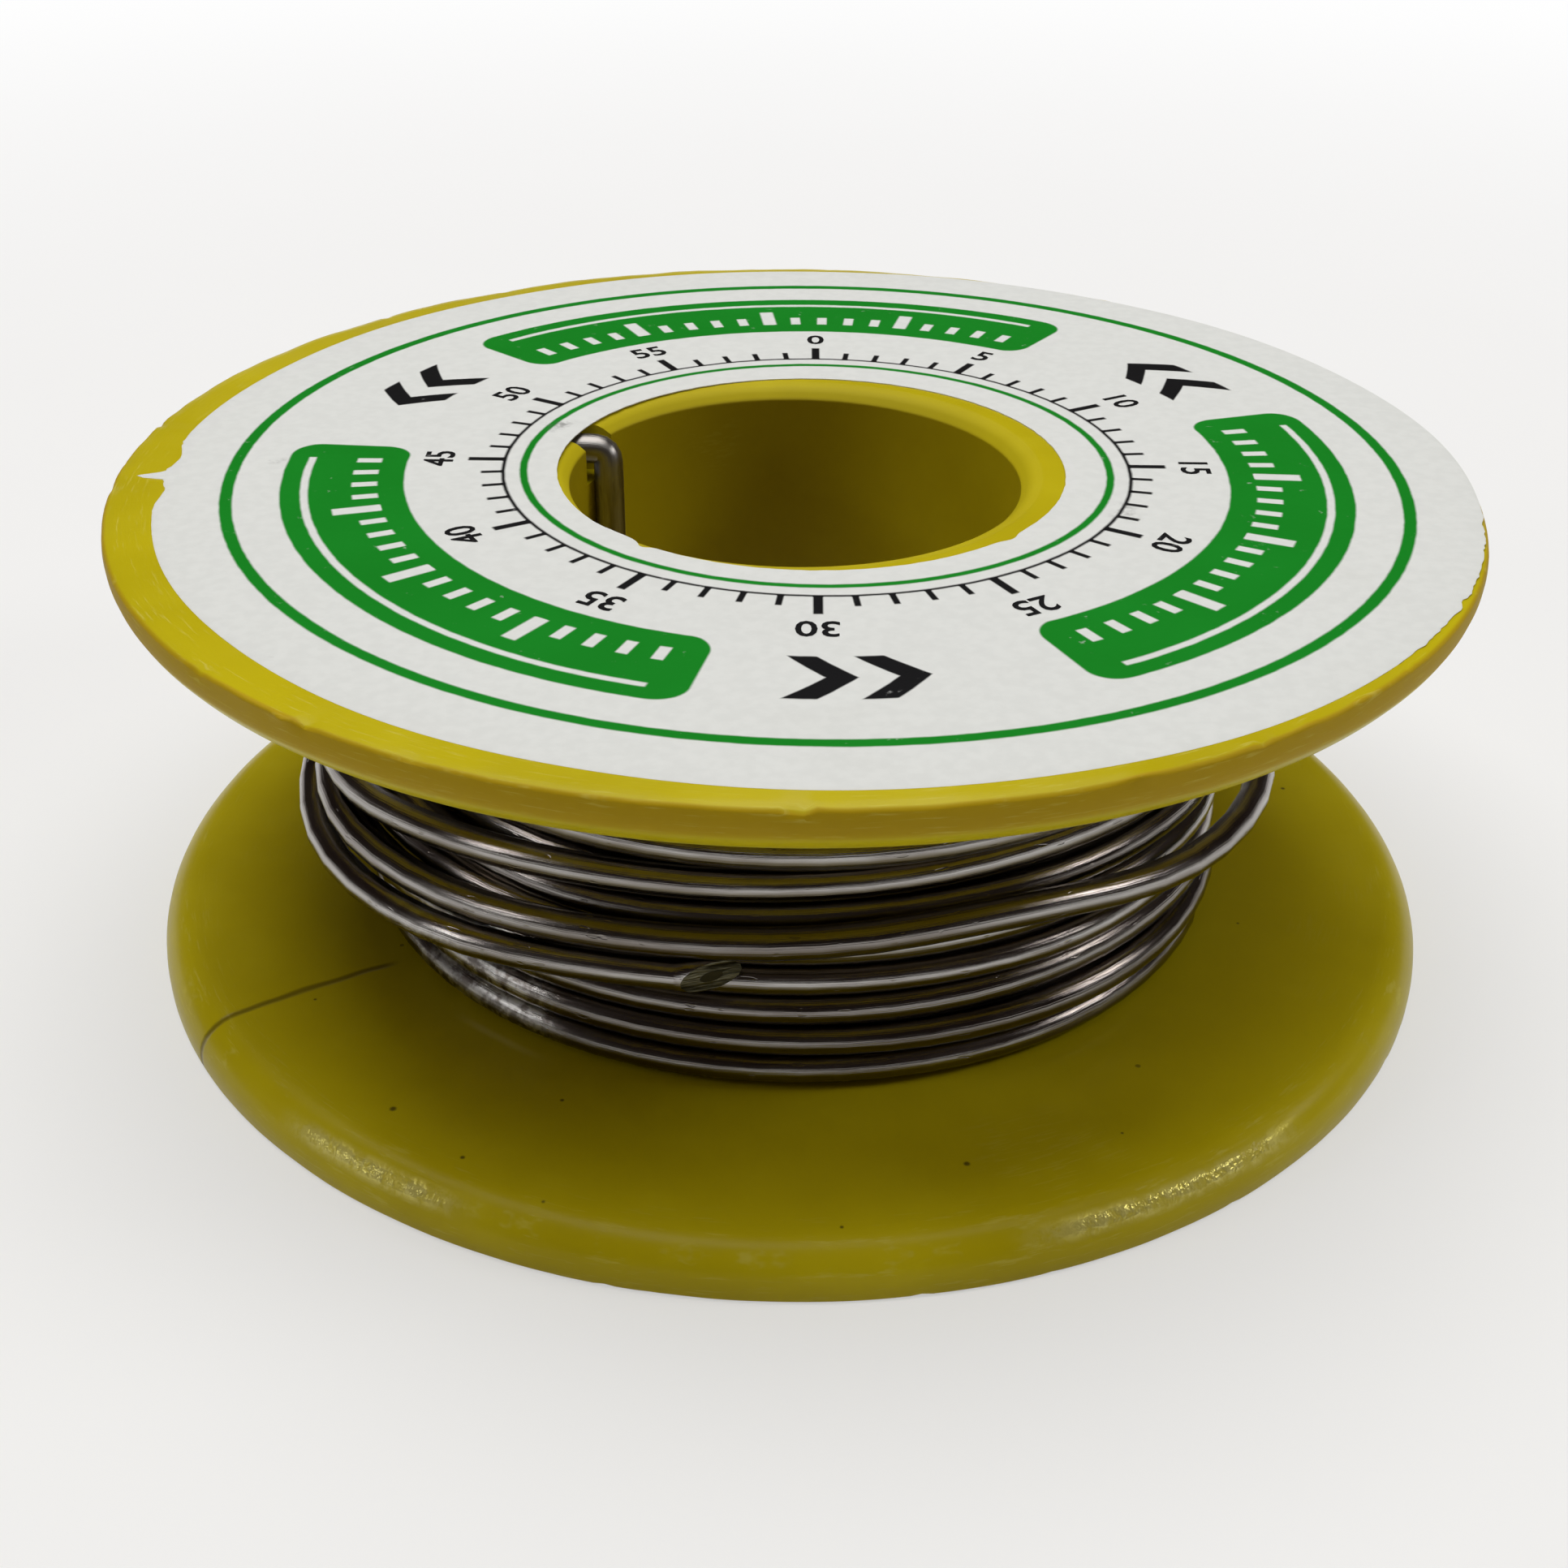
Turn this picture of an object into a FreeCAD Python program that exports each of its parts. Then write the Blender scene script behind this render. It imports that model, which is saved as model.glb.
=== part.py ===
import FreeCAD
import Part
import math
import os

V = FreeCAD.Vector

# A small reel of flux-cored solder wire, standing on its lower flange.
# +Z runs along the bore, the origin is the centre of the lower flange's outer face,
# and azimuth is counted from +X towards +Y, in degrees. Sizes are in millimetres.

# Spool moulding
flange_diameter = 44.0
overall_height = 16.0
flange_thickness = 1.7
flange_edge_round = 1.3
bore_diameter = 14.4
hub_wall = 1.3
hub_corner_round = 0.4
lip_round = 0.8
core_pin_split = 8.0
core_pin_step = 0.2

# Anchor slot for the start of the wire, cut through the upper flange beside the bore
slot_azimuth = 151.0
slot_side_play = 0.25
slot_end_play = 0.4
slot_floor_play = 0.4

# Solder wire and its winding
wire_diameter = 1.0
flux_core_diameter = 0.37
turn_gap = 0.08
layer_gap = 0.02
layer_count = 7
winding_hub_play = 0.05
winding_base_play = 0.1
winding_head_room = 1.1

# Start of the wire, hooked over the hub wall into the bore
tail_cover_gap = 0.12
tail_wall_gap = 0.1
tail_lean = 0.12
tail_length = 6.1
tail_leg_play = 0.45

# Paper ring on the upper face
label_diameter = 41.6
label_hole_diameter = 16.2
label_thickness = 0.12
label_shift = V(1.0, -0.3, 0)
label_hole_shift = V(0.5, -0.05, 0)

# Loose outer turns, as corners of the wire's route in the order in which it was wound:
# azimuth, distance out from the winding's surface, height over the lower flange's inner face.
# The finished bend passes about half a millimetre inside each corner.
loose_turns = [
    (30.0, 0.68, 0.58),
    (48.0, 0.97, 1.10),
    (74.0, 1.08, 2.00),
    (101.0, 1.10, 2.92),
    (128.0, 1.10, 3.76),
    (154.0, 1.06, 4.36),
    (180.0, 1.12, 4.66),
    (205.0, 1.43, 4.71),
    (229.0, 0.94, 4.83),
    (252.0, 0.78, 5.48),
    (274.0, 0.92, 5.80),
    (297.0, 0.80, 6.00),
    (322.0, 1.53, 5.00),
    (348.0, 2.13, 4.62),
    (374.0, 1.90, 4.72),
    (401.0, 2.10, 4.55),
    (429.0, 2.30, 4.15),
    (457.0, 2.38, 3.75),
    (485.0, 2.38, 3.50),
    (511.0, 2.25, 3.42),
    (536.0, 1.94, 3.56),
    (561.0, 1.98, 3.26),
    (588.0, 1.71, 3.92),
    (612.0, 0.60, 4.16),
    (625.5, 0.76, 4.60),
]

# Slant of the side cutters' cut on the wire's free end
cut_bevel_length = 1.6

# Share of the shorter of two runs that the arc between them takes from each
bend_share = 0.45

# Places that follow from the sizes above
flange_radius = flange_diameter / 2
bore_radius = bore_diameter / 2
upper_bore_radius = bore_radius + core_pin_step
hub_radius = bore_radius + hub_wall
upper_face = overall_height
upper_inner_face = overall_height - flange_thickness
wire_radius = wire_diameter / 2
turn_pitch = wire_diameter + turn_gap
layer_step = math.sqrt((wire_diameter + layer_gap) ** 2 - (turn_pitch / 2) ** 2)
inner_layer_radius = hub_radius + winding_hub_play + wire_radius
outer_layer_radius = inner_layer_radius + (layer_count - 1) * layer_step
winding_radius = outer_layer_radius + wire_radius
winding_base = flange_thickness + winding_base_play
winding_room = upper_inner_face - winding_head_room - winding_base
turns_across = int((winding_room + turn_gap) / turn_pitch)
winding_top = winding_base + turns_across * turn_pitch - turn_gap
tail_top = upper_face - tail_cover_gap - wire_radius
tail_radius = upper_bore_radius - tail_wall_gap - wire_radius
tail_leg_radius = inner_layer_radius + tail_leg_play
slot_width = wire_diameter + 2 * slot_side_play
slot_end = tail_leg_radius + wire_radius + slot_end_play
slot_floor = min(upper_inner_face, tail_top - wire_radius - slot_floor_play)


def polar(radius, azimuth, height):
    angle = math.radians(azimuth)
    return V(radius * math.cos(angle), radius * math.sin(angle), height)


# Sections in the XZ plane, given as corner points, each with the radius that rounds it
def rounded_section(corners):
    count = len(corners)
    edges = []
    starts = []
    ends = []
    for index, (x, z, rounding) in enumerate(corners):
        corner = V(x, 0, z)
        before = corners[index - 1]
        after = corners[(index + 1) % count]
        to_before = V(before[0], 0, before[1]) - corner
        to_after = V(after[0], 0, after[1]) - corner
        to_before.normalize()
        to_after.normalize()
        if rounding:
            half_turn = (math.pi - to_before.getAngle(to_after)) / 2
            reach = rounding * math.tan(half_turn)
            start = corner + to_before * reach
            end = corner + to_after * reach
            inwards = to_before + to_after
            inwards.normalize()
            bow = rounding / math.cos(half_turn) - rounding
            edges.append(Part.Arc(start, corner + inwards * bow, end).toShape())
        else:
            start = corner
            end = corner
        starts.append(start)
        ends.append(end)
    for index in range(count):
        edges.append(Part.LineSegment(ends[index], starts[(index + 1) % count]).toShape())
    return Part.Face(Part.Wire(Part.sortEdges(edges)[0]))


def turned(section):
    return section.revolve(V(0, 0, 0), V(0, 0, 1), 360)


# One moulding: the hub tube and both flanges, with sharp outer edges, rounded inner edges
# and a rounded lip at each end of the bore. Two core pins meet in the bore at a small step.
def spool_body():
    section = rounded_section([
        (bore_radius, 0, lip_round),
        (flange_radius, 0, 0),
        (flange_radius, flange_thickness, flange_edge_round),
        (hub_radius, flange_thickness, hub_corner_round),
        (hub_radius, upper_inner_face, hub_corner_round),
        (flange_radius, upper_inner_face, flange_edge_round),
        (flange_radius, upper_face, 0),
        (upper_bore_radius, upper_face, lip_round),
        (upper_bore_radius, core_pin_split, 0),
        (bore_radius, core_pin_split, 0),
    ])
    return turned(section).cut(anchor_slot())


def anchor_slot():
    depth = upper_face - slot_floor
    straight = slot_end - slot_width / 2
    channel = Part.makeBox(straight, slot_width, depth, V(0, -slot_width / 2, slot_floor))
    round_end = Part.makeCylinder(slot_width / 2, depth, V(straight, 0, slot_floor))
    slot = channel.fuse(round_end).removeSplitter()
    slot.rotate(V(0, 0, 0), V(0, 0, 1), slot_azimuth)
    return slot


# The paper ring lies on the upper face and covers the outer part of the anchor slot
def face_label():
    disc = Part.makeCylinder(label_diameter / 2, label_thickness, V(0, 0, upper_face) + label_shift)
    hole_place = V(0, 0, upper_face) + label_hole_shift
    return disc.cut(Part.makeCylinder(label_hole_diameter / 2, label_thickness, hole_place))


# The winding is one closed ring with a rounded ridge for each turn of its outer layer.
# Its inner corners are cut back from the hub's corner roundings.
def solder_winding():
    inner = hub_radius + winding_hub_play
    corner = hub_corner_round + winding_hub_play
    edges = []
    place = V(outer_layer_radius, 0, winding_base)
    for turn in range(turns_across):
        middle = winding_base + turn * turn_pitch + wire_radius
        ridge_start = V(outer_layer_radius, 0, middle - wire_radius)
        ridge_end = V(outer_layer_radius, 0, middle + wire_radius)
        if turn:
            edges.append(Part.LineSegment(place, ridge_start).toShape())
        edges.append(Part.Arc(ridge_start, V(winding_radius, 0, middle), ridge_end).toShape())
        place = ridge_end
    rest = [
        V(inner, 0, winding_top),
        V(inner, 0, winding_base + corner),
        V(inner + corner, 0, winding_base),
        V(outer_layer_radius, 0, winding_base),
    ]
    for point in rest:
        edges.append(Part.LineSegment(place, point).toShape())
        place = point
    return turned(Part.Face(Part.Wire(edges)))


# A wire's route is straight runs joined by tangent arcs, one arc at each corner point
def bent_path(points):
    edges = []
    radii = []
    place = points[0]
    for before, corner, after in zip(points, points[1:], points[2:]):
        back = before - corner
        ahead = after - corner
        shorter = min(back.Length, ahead.Length)
        back.normalize()
        ahead.normalize()
        half_turn = (math.pi - back.getAngle(ahead)) / 2
        reach = bend_share * shorter
        radius = reach / math.tan(half_turn)
        start = corner + back * reach
        end = corner + ahead * reach
        inwards = back + ahead
        inwards.normalize()
        middle = corner + inwards * (radius / math.cos(half_turn) - radius)
        edges.append(Part.LineSegment(place, start).toShape())
        edges.append(Part.Arc(start, middle, end).toShape())
        radii.append(round(radius, 2))
        place = end
    edges.append(Part.LineSegment(place, points[-1]).toShape())
    return edges, radii


def swept(edges, diameter):
    path = Part.Wire(edges)
    start = edges[0].valueAt(edges[0].FirstParameter)
    heading = edges[0].tangentAt(edges[0].FirstParameter)
    section = Part.Wire(Part.makeCircle(diameter / 2, start, heading))
    return path.makePipeShell([section], True, False)


# Flux-cored wire: a metal tube and the flux thread that fills it
def cored_wire(edges):
    metal = swept(edges, wire_diameter)
    flux = swept(edges, flux_core_diameter)
    length = Part.Wire(edges).Length
    print("wire length", round(length, 2), "volume over section times length",
          round(metal.Volume / (math.pi * wire_radius ** 2 * length), 5))
    return metal.cut(flux), flux


def tail_route():
    low = tail_top - tail_length
    return [
        polar(tail_radius - tail_lean, slot_azimuth, low),
        polar(tail_radius, slot_azimuth, low + tail_length / 2),
        polar(tail_radius - tail_lean / 2, slot_azimuth, tail_top),
        polar(tail_leg_radius, slot_azimuth, tail_top),
        polar(tail_leg_radius, slot_azimuth, winding_top),
    ]


def loose_route():
    return [
        polar(winding_radius + out, azimuth, flange_thickness + height)
        for azimuth, out, height in loose_turns
    ]


# Side cutters leave a slanted face that starts at the wire's underside and runs out to its top
def cutter_wedge(last_run):
    tip = last_run.valueAt(last_run.LastParameter)
    heading = last_run.tangentAt(last_run.LastParameter)
    outwards = V(tip.x, tip.y, 0)
    outwards.normalize()
    down_and_out = outwards - V(0, 0, 1)
    down_and_out = down_and_out - heading * down_and_out.dot(heading)
    down_and_out.normalize()
    normal = heading * wire_diameter + down_and_out * cut_bevel_length
    side = 8 * wire_diameter
    wedge = Part.makeBox(side, side, side, V(-side / 2, -side / 2, 0))
    middle = tip - heading * (cut_bevel_length / 2)
    wedge.Placement = FreeCAD.Placement(middle, FreeCAD.Rotation(V(0, 0, 1), normal))
    return wedge


def build():
    tail_edges, tail_radii = bent_path(tail_route())
    loose_edges, loose_radii = bent_path(loose_route())
    print("bend radii of the start tail", tail_radii)
    print("bend radii of the loose turns", loose_radii)
    tail_metal, tail_flux = cored_wire(tail_edges)
    loose_metal, loose_flux = cored_wire(loose_edges[:-1])
    end_metal, end_flux = cored_wire(loose_edges[-1:])
    wedge = cutter_wedge(loose_edges[-1])
    return {
        "spool_body": spool_body(),
        "face_label": face_label(),
        "solder_winding": solder_winding(),
        "solder_start_tail": tail_metal,
        "solder_loose_turns": loose_metal,
        "solder_free_end": end_metal.cut(wedge),
        "flux_core_start": tail_flux,
        "flux_core_loose": loose_flux,
        "flux_core_end": end_flux.cut(wedge),
    }


os.makedirs("parts", exist_ok=True)
for node, shape in build().items():
    print(node, "solids", len(shape.Solids), "valid", shape.isValid(), "volume", round(shape.Volume, 2))
    shape.exportStep("parts/" + node + ".step")

wound_length = sum(
    turns_across * math.hypot(2 * math.pi * (inner_layer_radius + layer * layer_step), turn_pitch)
    for layer in range(layer_count)
)
print("turns across", turns_across, "wound length", round(wound_length), "winding radius", winding_radius)
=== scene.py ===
import bmesh
import bpy
import math
import numpy as np
from mathutils import Matrix, Vector, noise as noise_value


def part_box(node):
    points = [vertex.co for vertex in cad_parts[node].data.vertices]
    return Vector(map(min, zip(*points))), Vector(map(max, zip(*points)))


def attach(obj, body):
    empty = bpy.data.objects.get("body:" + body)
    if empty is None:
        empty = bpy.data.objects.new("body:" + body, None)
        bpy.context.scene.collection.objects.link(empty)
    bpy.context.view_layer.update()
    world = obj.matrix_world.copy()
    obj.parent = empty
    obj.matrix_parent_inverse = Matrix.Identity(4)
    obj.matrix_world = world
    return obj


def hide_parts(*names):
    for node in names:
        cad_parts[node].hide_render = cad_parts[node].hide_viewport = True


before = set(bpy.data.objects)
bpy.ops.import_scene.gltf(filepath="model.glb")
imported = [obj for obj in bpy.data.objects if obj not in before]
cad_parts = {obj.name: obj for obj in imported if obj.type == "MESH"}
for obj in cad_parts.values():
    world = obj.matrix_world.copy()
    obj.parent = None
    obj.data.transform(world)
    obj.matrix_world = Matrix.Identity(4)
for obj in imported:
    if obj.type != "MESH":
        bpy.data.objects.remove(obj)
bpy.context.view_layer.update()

# Lengths are in millimetres, as on the part's drawing, and become metres where a mesh is made.
# Azimuth is counted in degrees from +X towards +Y, and heights from the lower flange's outer face.
MM = 0.001

# Spool moulding
SPOOL_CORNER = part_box("spool_body")[1] / MM
OVERALL_HEIGHT = SPOOL_CORNER.z
FLANGE_RADIUS = SPOOL_CORNER.x
FLANGE_THICKNESS = 1.7
FLANGE_EDGE_ROUND = 1.3
SHARP_EDGE_ROUND = 0.12
FLANGE_FACE_RINGS = (15.0, 21.5)
FLANGE_INNER_RING = 15.5
HUB_RADIUS = 8.5
HUB_CORNER_ROUND = 0.4
LOWER_BORE_RADIUS = 7.2
UPPER_BORE_RADIUS = 7.4
CORE_PIN_SPLIT = 8.0
LIP_ROUND = 0.8
LIP_WIDTH = 0.72
LIP_DROP = 0.46
LIP_SHOULDER = (0.30, 0.13)
LIP_ROUNDINGS = (1.1, 0.7, 0.12)
SLOT_MIDDLE = (-7.20, 2.90)
SLOT_AZIMUTH = 188.4
SLOT_WIDTH = 1.5
SLOT_REACH = (-1.15, 2.95)
SLOT_FLOOR = OVERALL_HEIGHT - FLANGE_THICKNESS
LATHE_SEGMENTS = 432
EDGE_FLASH = 0.10
# Marks on the upper flange's outer edge: azimuth, half width in degrees, and depth, which is
# below zero where a thread of flash stands out
UPPER_EDGE_MARKS = [
    (171.5, 0.5, 0.10),
    (186.0, 1.1, 0.06),
    (229.6, 3.2, -0.16),
    (233.3, 0.9, -0.34),
    (235.1, 0.7, 0.14),
    (270.5, 0.45, 0.20),
    (271.9, 0.5, -0.07),
    (293.5, 1.4, -0.10),
    (307.6, 1.0, -0.09),
    (313.2, 0.8, -0.10),
    (319.8, 1.3, -0.08),
    (29.0, 1.0, 0.12),
    (64.0, 1.4, 0.08),
]

# Seam left by the mould on the lower flange, and the specks moulded into it: radius, azimuth, size
SEAM_AZIMUTH = 212.2
SEAM_START = 15.0
LOWER_SPECKS = [
    (19.67, 233.3, 0.15),
    (20.25, 242.4, 0.11),
    (20.94, 250.9, 0.10),
    (16.69, 246.1, 0.10),
    (18.68, 286.2, 0.13),
    (21.70, 282.3, 0.14),
    (20.76, 274.3, 0.09),
    (18.32, 214.2, 0.09),
    (19.20, 301.0, 0.08),
    (16.10, 341.0, 0.09),
    (18.90, 12.0, 0.12),
    (17.40, 96.0, 0.11),
]

# Scraped stretches of the lower rim, which are also painted paler as a painted highlight: azimuth,
# and how far each side they are full and then end.
# The profile is the radius and height on the rim's rounding along which they run.
SCRAPED_HIGHLIGHT_STRETCHES = [(236.0, 1.6, 4.2), (301.5, 2.6, 5.8)]
SCRAPED_HIGHLIGHT_PROFILE = (21.70, 1.24)

# Painted reflection of the wire: a pale streak beside it on the lower flange, with its length as in
# the list above
REFLECTION_STREAK_RADIUS = 15.22
REFLECTION_STREAK_STRETCH = (233.4, 0.4, 2.2)

# Colours of the plastic, here and below as linear red, green and blue
PLASTIC_DEEP = (0.500, 0.408, 0.003)
PLASTIC_PALE = (0.590, 0.490, 0.006)
PLASTIC_MOTTLE = (0.64, 0.55, 0.015)
PLASTIC_BORE_SHADE = (0.24, 0.150, 0.002)
PLASTIC_FAR_BORE_SHADE = (0.10, 0.058, 0.001)
PLASTIC_RIM_WALL_SHADE = (0.46, 0.29, 0.002)
PLASTIC_SPECK = (0.045, 0.030, 0.008)
PLASTIC_SEAM = (0.08, 0.050, 0.006)
PLASTIC_WORN_EDGE = (0.74, 0.68, 0.16)
PLASTIC_SCUFF = (0.70, 0.62, 0.12)
PLASTIC_SCRAPE_HIGHLIGHT = (0.86, 0.79, 0.30)
PLASTIC_PAINTED_REFLECTION = (0.84, 0.76, 0.24)

# Paper ring
LABEL_BASE = (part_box("face_label")[0] / MM).z
LABEL_THICKNESS = 0.035
LABEL_SEGMENTS = 720
LABEL_RINGS = 16
LABEL_CENTRE = (0.70, 0.16)
LABEL_RADIUS = 21.22
LABEL_HOLE_CENTRE = (0.52, -0.02)
LABEL_HOLE_RADIUS = 8.30
LABEL_RUMPLED_AZIMUTHS = (318.0, 352.0)
# Nicks in the hole: azimuth, half width and depth. Tear in the rim: its azimuth, and from there
# each wave's azimuth, half width and height. Smudges: radius, azimuth and size.
LABEL_HOLE_NICKS = [(232.6, 1.9, 0.20), (316.5, 2.6, 0.16), (226.0, 6.0, -0.10)]
LABEL_TEAR_AZIMUTH = 184.4
LABEL_TEAR = [(-4.0, 2.6, -0.30), (3.6, 2.4, -0.24), (0.2, 0.55, 0.95)]
LABEL_SMUDGES = [(8.75, 157.5, 1.0), (10.9, 341.0, 0.9), (20.0, 225.0, 0.35), (17.0, 180.5, 0.5)]

# Print on the paper ring, as radii from its centre and angles round it
BAND_RADII = (13.4, 17.3)
BAND_COUNT = 3
BAND_HALF_ANGLE = 41.0
BAND_TURN = 97.0
BAND_CORNER = 0.9
BAND_END_MARGIN = 1.1
BAND_LINE_RADII = (16.42, 16.66)
NOTCH_RADII = (14.25, 15.05, 15.75)
NOTCH_STEP = 4.0
LONG_NOTCH_STEP = 20.0
RIM_LINE_RADII = (18.75, 19.15)
HOLE_LINE_RADII = (9.45, 9.70)
SCALE_LINE_RADII = (10.18, 10.30)
SCALE_RADII = (10.25, 10.95, 11.45)
SCALE_STEP = 6.0
NUMBER_STEP = 30.0
NUMBER_INTERVAL = 5
NUMBER_RADIUS = 12.35
NUMBER_HEIGHT = 1.35
INK_THICKNESS = 0.012
ARROW_SLOPE = 0.9
ARROW_HALF_WIDTH = 1.25
ARROW_EDGES = (-1.7, -0.8, 0.3, 1.2)
PRINT_SOFTNESS = 0.05

# Colours of the paper and the print
PAPER_GREY = (0.765, 0.785, 0.765)
PAPER_WHITE = (0.800, 0.820, 0.800)
PAPER_STAIN = (0.67, 0.675, 0.63)
PAPER_CUT_EDGE = (0.66, 0.66, 0.58)
GREEN_DEEP = (0.003, 0.220, 0.010)
GREEN_PALE = (0.006, 0.270, 0.017)
BLACK_INK = (0.006, 0.006, 0.007)
WORN_INK = (0.32, 0.32, 0.31)
SOLDER_SMUDGE = (0.13, 0.13, 0.125)

# Solder wire
WIRE_DIAMETER = 1.0
WIRE_RADIUS = WIRE_DIAMETER / 2
FLUX_RADIUS = 0.185
CUT_BEVEL_LENGTH = 1.6
CUT_DOWNWARDS = 0.15
TURN_PITCH = 1.08
LOWEST_TURN = 2.3
LAYER_STEP = 0.8653
INNER_LAYER_RADIUS = 9.05
WINDING_RADIUS = 14.742
TURNS_IN_LAYERS = [10, 9, 10, 9, 10, 9, 10]
WIRE_SIDES = 16
FLUX_SIDES = 12
FLUX_PROUD = 0.02
# How many of the wire's points a stub of flux follows at its start and at its end
FLUX_STUB_POINTS = (8, 24)

# Finish of the wire: millimetres along it at which the anchored start ends, height at which the
# painted shade on the topmost turns begins, and a crumpled place with the radii of its fading edge
TAIL_END = (8.2, 9.6)
TOP_SHADE_HEIGHTS = (11.0, 11.7)
CRUMPLED_PLACE = (-10.3, -10.9, 2.6)
CRUMPLED_RADII = (2.4, 4.4)
SOLDER_DARK = (0.265, 0.242, 0.225)
SOLDER_BRIGHT = (0.44, 0.425, 0.405)
SOLDER_DRAW_LINE = (0.17, 0.155, 0.140)
SOLDER_NICK = (0.20, 0.185, 0.165)
SOLDER_CREASE_HIGHLIGHT = (0.62, 0.61, 0.59)
SOLDER_CUT = ((0.018, 0.016, 0.008), (0.17, 0.160, 0.105))
PAINTED_SHADE_ABOVE = (0.150, 0.100, 0.090)
PAINTED_REFLECTION_BELOW = (0.110, 0.088, 0.040)
RESIDUE_PATCH = (0.105, 0.086, 0.072)
PAINTED_SHADE_AT_TOP = (0.060, 0.044, 0.036)
ROSIN = ((0.016, 0.014, 0.006), (0.042, 0.037, 0.018))

# Camera, placed by the outlines of both flanges and of the bore
CAMERA_PLACE = (0.0, -66.87, 42.748)
CAMERA_PITCH = 29.927
CAMERA_YAW = 0.228
CAMERA_ROLL = 0.599
CAMERA_LENS = 49.9
CAMERA_SHIFT_Y = -0.0054

# Studio, with its lengths in metres. Lamps: name, place, size and power in watts.
LAMPS = [
    ("overhead_softbox", (-0.022, 0.05, 0.33), (0.31, 0.31), 0.98),
    ("left_softbox", (-0.40, -0.12, 0.21), (0.11, 0.07), 0.14),
    ("right_softbox", (0.40, -0.01, 0.28), (0.15, 0.06), 0.37),
]
LAMP_TARGET = (0.0, 0.0, 0.008)
WHITE = (1.0, 1.0, 1.0)
ROOM_LIGHT = (0.093, 0.070, 0.048)
ROOM_ABOVE = (0.034, 0.026, 0.022)
ROOM_SIDES = (0.45, 0.43, 0.40)
FLOOR_COLOURS = ((0.84, 0.84, 0.83), (0.88, 0.88, 0.87))
FLOOR_HALF_SIZE = 1.2
# Distances from the object between which the floor's own shade fades from half to nothing
FLOOR_SHADE_ENDS = (0.04, 0.20)


def metres(points):
    return [tuple(MM * value for value in point) for point in points]


def polar(radius, azimuth, height):
    angle = math.radians(azimuth)
    return (radius * math.cos(angle), radius * math.sin(angle), height)


def smooth(share):
    share = min(1.0, max(0.0, share))
    return share * share * (3 - 2 * share)


def bump(azimuth, centre, width):
    return math.exp(-((azimuth - centre) / width) ** 2)


class Value:
    """A socket of a node tree that sums and products can be written with."""

    def __init__(self, tree, socket):
        self.tree = tree
        self.socket = socket

    def maths(self, operation, *others):
        return node(self.tree, "ShaderNodeMath", {"operation": operation}, [self, *others])

    def __add__(self, other):
        return self.maths("ADD", other)

    def __sub__(self, other):
        return self.maths("SUBTRACT", other)

    def __rsub__(self, other):
        return node(self.tree, "ShaderNodeMath", {"operation": "SUBTRACT"}, [other, self])

    def __mul__(self, other):
        return self.maths("MULTIPLY", other)

    def __truediv__(self, other):
        return self.maths("DIVIDE", other)

    def __gt__(self, other):
        return self.maths("GREATER_THAN", other)

    def __lt__(self, other):
        return self.maths("LESS_THAN", other)

    __radd__ = __add__
    __rmul__ = __mul__

    def ramp(self, low, high):
        """0 below low, 1 above high, and a soft step between them."""
        settings = {"interpolation_type": "SMOOTHSTEP"}
        return node(self.tree, "ShaderNodeMapRange", settings, [self, low, high, 0.0, 1.0])


def node(tree, kind, settings, sockets, output=0):
    """Adds one node: its settings first, then the values or links of its sockets."""
    made = tree.nodes.new(kind)
    for name, setting in settings.items():
        setattr(made, name, setting)
    items = sockets.items() if isinstance(sockets, dict) else enumerate(sockets)
    for key, value in items:
        if isinstance(value, Value):
            tree.links.new(value.socket, made.inputs[key])
        else:
            made.inputs[key].default_value = value
    return Value(tree, made.outputs[output])


def mix(tree, share, first, second):
    """A colour between first and second."""
    first = first if isinstance(first, Value) else (*first, 1.0)
    second = second if isinstance(second, Value) else (*second, 1.0)
    return node(tree, "ShaderNodeMix", {"data_type": "RGBA"}, {0: share, 6: first, 7: second}, 2)


def noise(tree, place, scale, detail=2.0, roughness=0.5):
    sockets = {"Vector": place, "Scale": scale, "Detail": detail, "Roughness": roughness}
    return node(tree, "ShaderNodeTexNoise", {}, sockets)


def part_of(tree, whole, axis):
    """One of the three parts of a vector."""
    return node(tree, "ShaderNodeSeparateXYZ", {}, [whole], axis)


def object_place(tree):
    """The place on the piece, in metres, as a vector and as its three parts."""
    place = node(tree, "ShaderNodeTexCoord", {}, {}, 3)
    return place, [part_of(tree, place, axis) for axis in range(3)]


def vector(tree, x, y, z):
    return node(tree, "ShaderNodeCombineXYZ", {}, [x, y, z])


def distance(tree, place, point):
    """Metres from a point that is given in millimetres."""
    centre = tuple(MM * value for value in point)
    return node(tree, "ShaderNodeVectorMath", {"operation": "DISTANCE"}, [place, centre], 1)


def near_ray(x, y, azimuth, full, end):
    """1 along the ray from the axis at this azimuth, and 0 past the distance end to its side."""
    turn = math.radians(azimuth)
    aside = (y * math.cos(turn) - x * math.sin(turn)).maths("ABSOLUTE")
    ahead = x * math.cos(turn) + y * math.sin(turn) > 0.0
    return (1.0 - aside.ramp(full * MM, end * MM)) * ahead


def new_material(name):
    material = bpy.data.materials.new(name)
    material.use_nodes = True
    tree = material.node_tree
    shader = tree.nodes["Principled BSDF"]
    return material, tree, shader


def dress(tree, shader, colour, roughness, height=None, depth=0.0, strength=1.0):
    tree.links.new(colour.socket, shader.inputs["Base Color"])
    if isinstance(roughness, Value):
        tree.links.new(roughness.socket, shader.inputs["Roughness"])
    else:
        shader.inputs["Roughness"].default_value = roughness
    if height is not None:
        sockets = {"Strength": strength, "Distance": depth, "Height": height}
        raised = node(tree, "ShaderNodeBump", {}, sockets)
        tree.links.new(raised.socket, shader.inputs["Normal"])


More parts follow.
